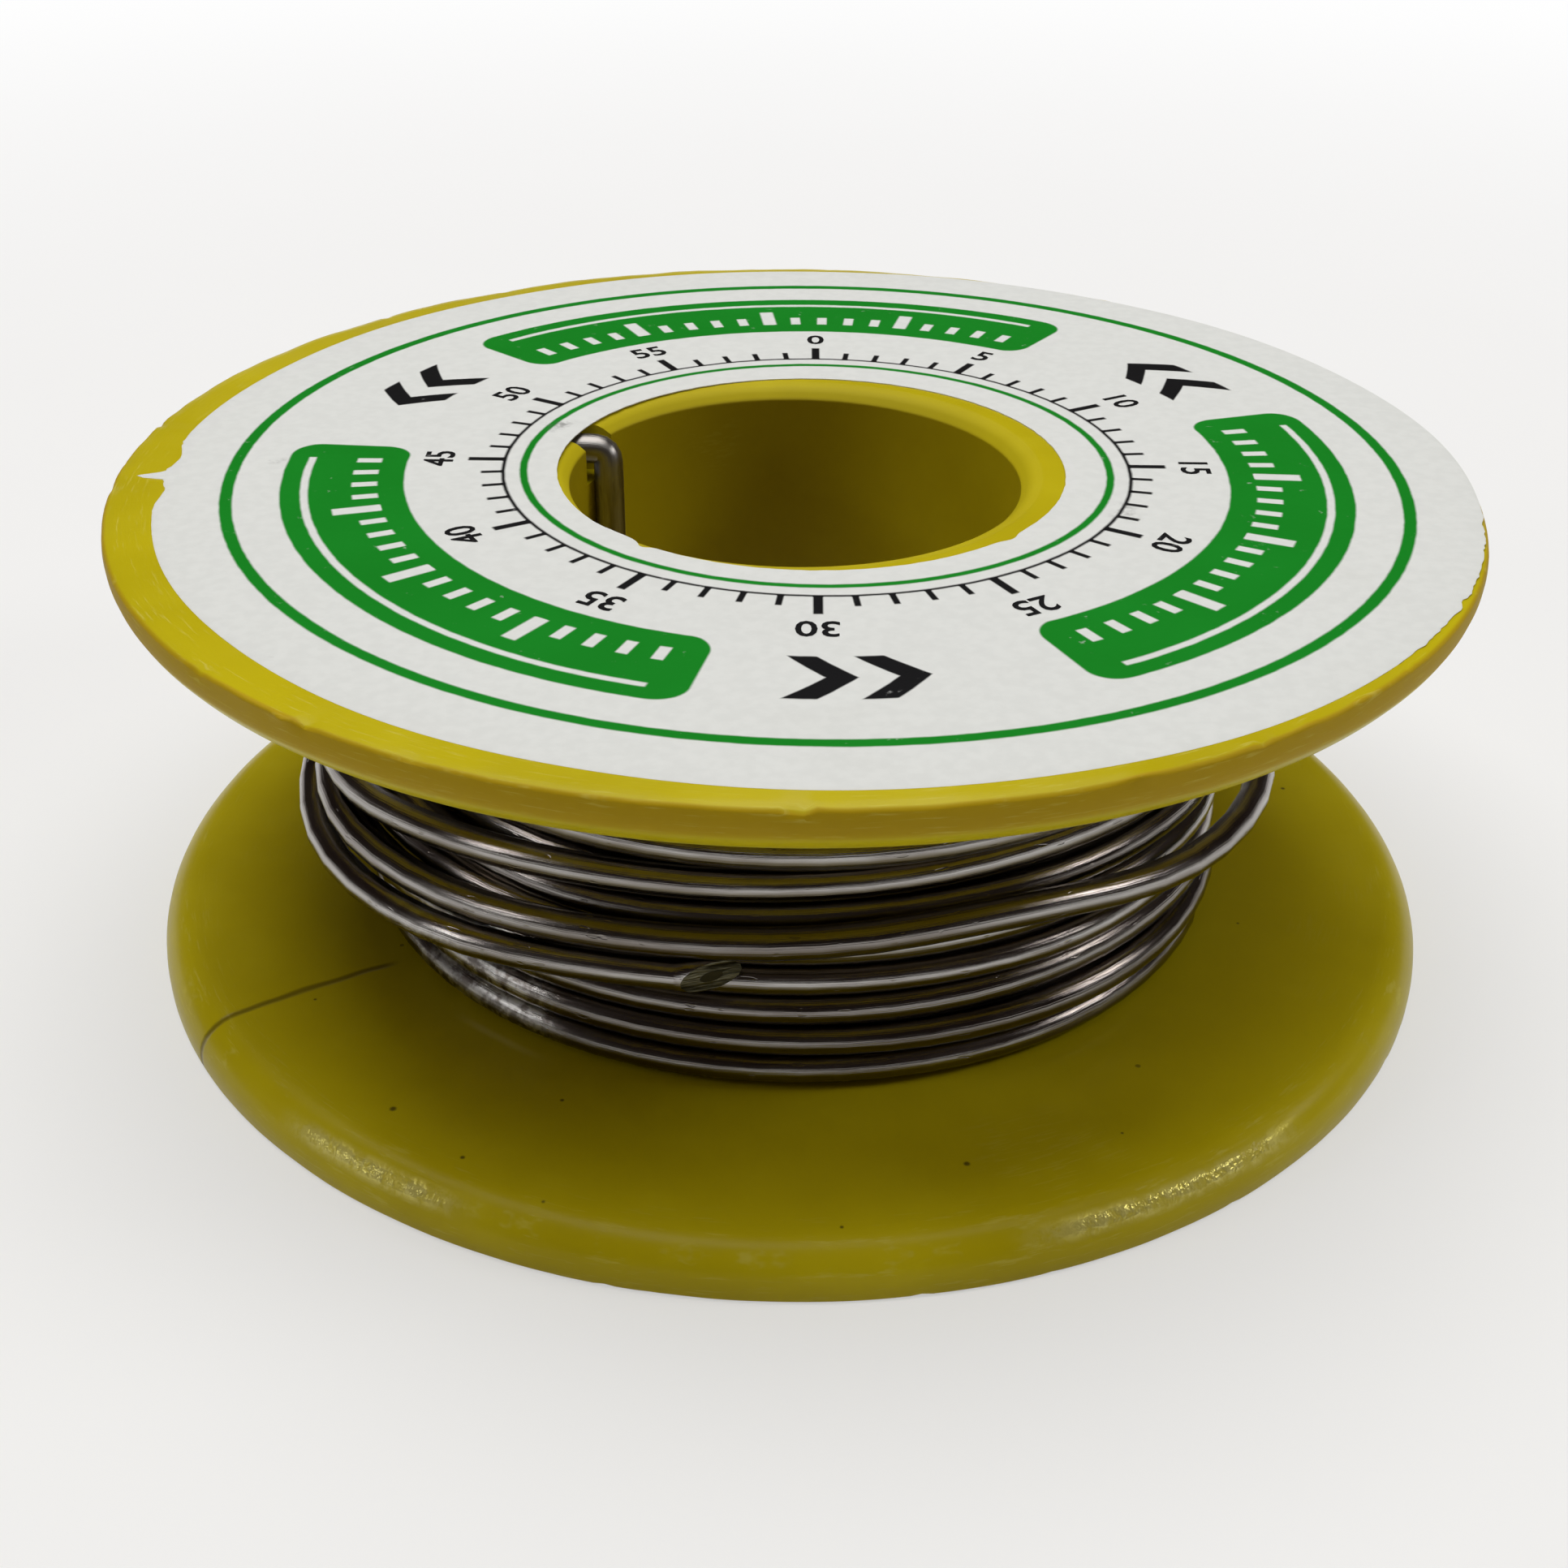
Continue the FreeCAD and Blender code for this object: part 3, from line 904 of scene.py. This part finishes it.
def lathe_tree(material):
    """Turns the outline that the piece's own vertices hold, wears its edges and cuts the slot."""
    tree = bpy.data.node_groups.new("turned_moulding", "GeometryNodeTree")
    face = tree.interface
    face.new_socket("Geometry", in_out="INPUT", socket_type="NodeSocketGeometry")
    for kind, names in LATHE_INPUTS.items():
        for name in names:
            face.new_socket(name, in_out="INPUT", socket_type=kind)
    face.new_socket("Geometry", in_out="OUTPUT", socket_type="NodeSocketGeometry")
    entry = tree.nodes.new("NodeGroupInput")
    (outline, segments, outline_points, flash, outer_radius, height, slot_width, slot_start,
     slot_end, slot_floor, slot_angle, slot_middle) = (
        Value(tree, socket) for socket in entry.outputs if socket.name)

    # A sheet with one row of points for each point of the outline, rolled round the axis
    columns = segments + 1
    grid = node(tree, "GeometryNodeMeshGrid", {},
                {"Vertices X": outline_points, "Vertices Y": columns})
    index = node(tree, "GeometryNodeInputIndex", {}, {})
    row = (index / columns).maths("FLOOR")
    column = index - row * columns
    position = node(tree, "GeometryNodeInputPosition", {}, {})
    sampled = node(tree, "GeometryNodeSampleIndex", {"data_type": "FLOAT_VECTOR"},
                   {"Geometry": outline, "Value": position, "Index": row})
    radius, level = part_of(tree, sampled, 0), part_of(tree, sampled, 2)
    turn = column.maths("MODULO", segments) / segments
    angle = turn * (2 * math.pi)
    around = vector(tree, angle.maths("COSINE"), angle.maths("SINE"), level * 60.0)

    # The outer edges aren't quite sharp: trimmed flash, small nicks and the marks in the list.
    # Flash stands out along the radius only.
    waver = noise(tree, around, 9.0, 3.0) - 0.5
    chips = noise(tree, around, 27.0, 1.0).ramp(0.64, 0.76)
    at_rim = 1.0 - (outer_radius - radius).ramp(0.0, 0.4 * MM)
    at_top = 1.0 - (height - level).ramp(0.0, 0.5 * MM)
    at_foot = 1.0 - level.ramp(0.0, 0.5 * MM)
    wear = (0.75 + waver * 1.5 + chips) * flash
    for azimuth, width, depth in UPPER_EDGE_MARKS:
        away = (turn * 360.0 - azimuth) / width
        wear = wear + at_top * (0.0 - away * away).maths("EXPONENT") * (depth * MM)
    wear = wear * at_rim * (at_top + at_foot * 0.35)
    radius = radius - wear * 0.45
    wear = wear.maths("MAXIMUM", 0.0)
    level = level - wear * at_top + wear * at_foot
    place = vector(tree, radius * angle.maths("COSINE"), radius * angle.maths("SINE"), level)
    turned = node(tree, "GeometryNodeSetPosition", {}, {"Geometry": grid, "Position": place})
    closed = node(tree, "GeometryNodeMergeByDistance", {},
                  {"Geometry": turned, "Distance": 0.001 * MM})

    # The slot in which the wire's start is anchored
    tall = height - slot_floor + 1.0 * MM
    size = vector(tree, slot_end - slot_start, slot_width, tall)
    bar = node(tree, "GeometryNodeMeshCube", {}, {"Size": size})
    middle = vector(tree, (slot_end + slot_start) / 2, 0.0, slot_floor + tall / 2)
    bar = node(tree, "GeometryNodeTransform", {}, {"Geometry": bar, "Translation": middle})
    turned_bar = node(tree, "GeometryNodeTransform", {},
                      {"Geometry": bar, "Rotation": vector(tree, 0.0, 0.0, slot_angle),
                       "Translation": slot_middle})
    slotted = node(tree, "GeometryNodeMeshBoolean", {"operation": "DIFFERENCE", "solver": "EXACT"},
                   {"Mesh 1": closed, "Mesh 2": turned_bar})
    smooth_faces = node(tree, "GeometryNodeSetShadeSmooth", {}, {"Geometry": slotted})
    solid = node(tree, "GeometryNodeRealizeInstances", {}, {"Geometry": smooth_faces})
    finished = node(tree, "GeometryNodeSetMaterial", {}, {"Geometry": solid, "Material": material})
    out = tree.nodes.new("NodeGroupOutput")
    tree.links.new(finished.socket, out.inputs[0])
    return tree


def set_inputs(modifier, **values):
    """Sets a modifier's inputs by their sockets' identifiers, looked up by name."""
    for item in modifier.node_group.interface.items_tree:
        name = item.name.replace(" ", "_").lower()
        if item.item_type == "SOCKET" and item.in_out == "INPUT" and name in values:
            modifier[item.identifier] = values[name]


def plain_mesh(piece, sharp_angle):
    """Applies the piece's modifiers and returns the result as a new object of the same name."""
    name = piece.name
    evaluated = piece.evaluated_get(bpy.context.evaluated_depsgraph_get())
    mesh = bpy.data.meshes.new_from_object(evaluated)
    mesh.name = name
    mesh.set_sharp_from_angle(angle=math.radians(sharp_angle))
    bpy.data.objects.remove(piece)
    return link_piece(name, mesh)


def spool_moulding(material):
    top = OVERALL_HEIGHT
    inner, outer = FLANGE_FACE_RINGS
    corners = [
        (LOWER_BORE_RADIUS, 0.0, LIP_ROUND),
        (inner, 0.0, 0.0),
        (outer, 0.0, 0.0),
        (FLANGE_RADIUS, 0.0, SHARP_EDGE_ROUND),
        (FLANGE_RADIUS, FLANGE_THICKNESS, FLANGE_EDGE_ROUND),
        (FLANGE_INNER_RING, FLANGE_THICKNESS, 0.0),
        (HUB_RADIUS, FLANGE_THICKNESS, HUB_CORNER_ROUND),
        (HUB_RADIUS, top - FLANGE_THICKNESS, HUB_CORNER_ROUND),
        (FLANGE_INNER_RING, top - FLANGE_THICKNESS, 0.0),
        (FLANGE_RADIUS, top - FLANGE_THICKNESS, FLANGE_EDGE_ROUND),
        (FLANGE_RADIUS, top, SHARP_EDGE_ROUND),
        (outer, top, 0.0),
        (inner, top, 0.0),
        (UPPER_BORE_RADIUS + LIP_WIDTH, top, LIP_ROUNDINGS[0]),
        (UPPER_BORE_RADIUS + LIP_SHOULDER[0], top - LIP_SHOULDER[1], LIP_ROUNDINGS[1]),
        (UPPER_BORE_RADIUS, top - LIP_DROP, LIP_ROUNDINGS[2]),
        (UPPER_BORE_RADIUS, CORE_PIN_SPLIT, 0.0),
        (LOWER_BORE_RADIUS, CORE_PIN_SPLIT, 0.0),
    ]
    outline = rounded_outline(corners)
    outline.append(outline[0])
    mesh = bpy.data.meshes.new("spool_moulding")
    mesh.from_pydata(metres((radius, 0.0, height) for radius, height in outline), [], [])
    piece = link_piece("spool_moulding", mesh)
    modifier = piece.modifiers.new("turned_moulding", "NODES")
    modifier.node_group = lathe_tree(material)
    set_inputs(modifier, segments=LATHE_SEGMENTS, outline_points=len(outline),
               edge_flash=EDGE_FLASH * MM, outer_radius=FLANGE_RADIUS * MM,
               height=OVERALL_HEIGHT * MM, slot_width=SLOT_WIDTH * MM,
               slot_start=SLOT_REACH[0] * MM, slot_end=SLOT_REACH[1] * MM,
               slot_floor=SLOT_FLOOR * MM, slot_angle=math.radians(SLOT_AZIMUTH),
               slot_middle=(*metres([SLOT_MIDDLE])[0], 0.0))
    return plain_mesh(piece, sharp_angle=38.0)


def ripple(azimuth, frequency, row):
    """Smooth noise round the ring, the same each time it is asked."""
    return noise_value.noise(Vector((azimuth * frequency, row, 0.0)))


def torn_edge(azimuth):
    """How far the paper's outer rim stands outside its circle, in millimetres."""
    out = 0.035 * math.sin(math.radians(3 * azimuth + 40))
    out += 0.025 * math.sin(math.radians(11 * azimuth))
    rough = ripple(azimuth, 1.9, 3.0)
    first, last = LABEL_RUMPLED_AZIMUTHS
    rumpled = smooth((azimuth - first) / 6) * smooth((last - azimuth) / 6)
    out += rumpled * (0.16 * ripple(azimuth, 0.55, 0.0) - 0.03 + 0.05 * rough)
    away = azimuth - LABEL_TEAR_AZIMUTH
    out += sum(height * bump(away, centre, width) for centre, width, height in LABEL_TEAR)
    out += 0.14 * rough * bump(away, 0.0, 8.0)
    return out


def paper_ring(material):
    """The label: a thin ring with a ragged hole, and a rim that is torn and rumpled in places.

    Its edge rolls down from the last row but one, just inside the rim."""
    shares = [min(ring / (LABEL_RINGS - 1), 0.990) for ring in range(LABEL_RINGS)] + [1.0]
    rows = [[] for _ in shares]
    for segment in range(LABEL_SEGMENTS):
        azimuth = 360.0 * segment / LABEL_SEGMENTS
        angle = math.radians(azimuth)
        heading = Vector((math.cos(angle), math.sin(angle)))
        hole = LABEL_HOLE_RADIUS + 0.02 * ripple(azimuth, 0.35, 7.0)
        hole += sum(depth * bump(azimuth, centre, width)
                    for centre, width, depth in LABEL_HOLE_NICKS)
        inner = Vector(LABEL_HOLE_CENTRE) + heading * hole
        torn = torn_edge(azimuth)
        for row, share in zip(rows, shares):
            rim = LABEL_RADIUS + torn * smooth(share * 8 - 7)
            outer = Vector(LABEL_CENTRE) + heading * rim
            row.append(tuple(inner.lerp(outer, share)))
    high, low = LABEL_BASE + LABEL_THICKNESS, LABEL_BASE
    rolled = LABEL_BASE + LABEL_THICKNESS * 0.15
    heights = [high] * LABEL_RINGS + [rolled]
    vertices = [(x, y, height) for row, height in zip(rows, heights) for x, y in row]
    vertices += [(x, y, low) for row in rows for x, y in row]
    faces = []
    under = (LABEL_RINGS + 1) * LABEL_SEGMENTS
    last = LABEL_RINGS * LABEL_SEGMENTS
    for segment in range(LABEL_SEGMENTS):
        after = (segment + 1) % LABEL_SEGMENTS
        for ring in range(LABEL_RINGS):
            a, b = ring * LABEL_SEGMENTS + segment, ring * LABEL_SEGMENTS + after
            c, d = b + LABEL_SEGMENTS, a + LABEL_SEGMENTS
            faces.append((a, d, c, b))
            faces.append((under + a, under + b, under + c, under + d))
        faces.append((segment, after, under + after, under + segment))
        faces.append((last + segment, under + last + segment, under + last + after, last + after))
    mesh = bpy.data.meshes.new("paper_label")
    mesh.from_pydata(metres(vertices), [], faces)
    mesh.materials.append(material)
    mesh.shade_smooth()
    mesh.set_sharp_from_angle(angle=math.radians(40))
    return link_piece("paper_label", mesh)


def scale_numbers(material):
    """Plain numbers at the long marks of the printed scale, with their tops outwards."""
    whole = bmesh.new()
    for count in range(int(360 / NUMBER_STEP)):
        text = bpy.data.curves.new("scale_number", "FONT")
        text.body = str(count * NUMBER_INTERVAL)
        text.size = NUMBER_HEIGHT * MM
        text.align_x = "CENTER"
        text.align_y = "CENTER"
        text.offset = 0.02 * MM
        text.resolution_u = 3
        holder = bpy.data.objects.new("scale_number", text)
        mesh = bpy.data.meshes.new_from_object(holder)
        azimuth = 90.0 - NUMBER_STEP * count
        x, y, _ = polar(NUMBER_RADIUS, azimuth, 0.0)
        height = LABEL_BASE + LABEL_THICKNESS + INK_THICKNESS
        place = Vector((LABEL_CENTRE[0] + x, LABEL_CENTRE[1] + y, height)) * MM
        upright = Matrix.Rotation(math.radians(azimuth - 90.0), 4, "Z")
        mesh.transform(Matrix.Translation(place) @ upright)
        whole.from_mesh(mesh)
        bpy.data.objects.remove(holder)
        bpy.data.curves.remove(text)
        bpy.data.meshes.remove(mesh)
    mesh = bpy.data.meshes.new("label_numbers")
    whole.to_mesh(mesh)
    whole.free()
    mesh.materials.append(material)
    return link_piece("label_numbers", mesh)


def camera():
    data = bpy.data.cameras.new("camera")
    data.lens = CAMERA_LENS
    data.sensor_width = 36.0
    data.shift_y = CAMERA_SHIFT_Y
    data.clip_start = 0.001
    data.clip_end = 10.0
    eye = bpy.data.objects.new("camera", data)
    yaw = Matrix.Rotation(math.radians(CAMERA_YAW), 4, "Z")
    tilt = Matrix.Rotation(math.radians(90.0 - CAMERA_PITCH), 4, "X")
    roll = Matrix.Rotation(math.radians(CAMERA_ROLL), 4, "Z")
    eye.matrix_world = Matrix.Translation(Vector(CAMERA_PLACE) * MM) @ yaw @ tilt @ roll
    bpy.context.scene.collection.objects.link(eye)
    bpy.context.scene.camera = eye


def area_lamp(name, place, size, power):
    data = bpy.data.lights.new(name, "AREA")
    data.shape = "RECTANGLE"
    data.size, data.size_y = size
    data.energy = power
    lamp = bpy.data.objects.new(name, data)
    lamp.location = place
    aim = Vector(LAMP_TARGET) - Vector(place)
    lamp.rotation_euler = aim.to_track_quat("-Z", "Y").to_euler()
    bpy.context.scene.collection.objects.link(lamp)


def seen_directly(tree):
    """1 for what the camera, a mirror or a glass sees, 0 for the light that falls on things."""
    rays = [node(tree, "ShaderNodeLightPath", {}, {}, name)
            for name in ("Is Camera Ray", "Is Glossy Ray", "Is Transmission Ray")]
    return (rays[0] + rays[1] + rays[2]).maths("MINIMUM", 1.0)


def studio():
    """The lamps, and a room that is white to the camera and dark above the horizon in mirrors."""
    world = bpy.data.worlds.new("studio")
    world.use_nodes = True
    bpy.context.scene.world = world
    tree = world.node_tree
    way = node(tree, "ShaderNodeTexCoord", {}, {}, 0)
    camera_ray = node(tree, "ShaderNodeLightPath", {}, {}, "Is Camera Ray")
    aside = part_of(tree, way, 0).maths("ABSOLUTE").ramp(0.35, 0.85)
    horizon = mix(tree, aside, WHITE, ROOM_SIDES)
    room = mix(tree, part_of(tree, way, 2).ramp(0.0, 0.09), horizon, ROOM_ABOVE)
    seen = mix(tree, camera_ray, room, WHITE)
    colour = mix(tree, seen_directly(tree), ROOM_LIGHT, seen)
    background = tree.nodes["Background"]
    tree.links.new(colour.socket, background.inputs["Color"])
    for lamp in LAMPS:
        area_lamp(*lamp)


def pale_floor():
    """A plain floor whose own shade fades into white away from the object."""
    mesh = bpy.data.meshes.new("studio_floor")
    corners = [(-1, -1), (1, -1), (1, 1), (-1, 1)]
    corners = [(x * FLOOR_HALF_SIZE, y * FLOOR_HALF_SIZE, 0.0) for x, y in corners]
    mesh.from_pydata(corners, [], [(0, 1, 2, 3)])
    material, tree, shader = new_material("pale_floor")
    place, (x, y, _) = object_place(tree)
    dress(tree, shader, mix(tree, noise(tree, place, 40.0, 2.0), *FLOOR_COLOURS), 0.9)
    glow = node(tree, "ShaderNodeEmission", {}, {"Color": (*WHITE, 1.0), "Strength": 1.0})
    away = (x * x + y * y).maths("SQRT")
    share = seen_directly(tree) * (0.5 + away.ramp(*FLOOR_SHADE_ENDS) * 0.5)
    blend = node(tree, "ShaderNodeMixShader", {}, [share, Value(tree, shader.outputs[0]), glow])
    tree.links.new(blend.socket, tree.nodes["Material Output"].inputs[0])
    mesh.materials.append(material)
    floor = link_piece("studio_floor", mesh)


camera()
studio()
pale_floor()

line = smooth_line(metres(wire_way()), resolution=4)
rosin = flux_tips(line, rosin_flux())
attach(rosin, "root")
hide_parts("flux_core_start", "flux_core_loose", "flux_core_end")
wire = wire_tube("solder_wire", line, WIRE_RADIUS * MM, WIRE_SIDES, 0.0,
                 solder_metal(), cut_metal())
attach(wire, "root")
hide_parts("solder_winding", "solder_start_tail", "solder_loose_turns", "solder_free_end")
exit_point = Vector(polar(UPPER_BORE_RADIUS, TAIL_CORNERS[4][1], TAIL_CORNERS[4][2])) * MM

body = spool_moulding(yellow_plastic())
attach(body, "root")
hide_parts("spool_body")

label = paper_ring(label_paper())
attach(label, "root")
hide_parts("face_label")
numbers = scale_numbers(black_ink())
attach(numbers, "root")

bpy.context.scene.view_settings.view_transform = "Standard"
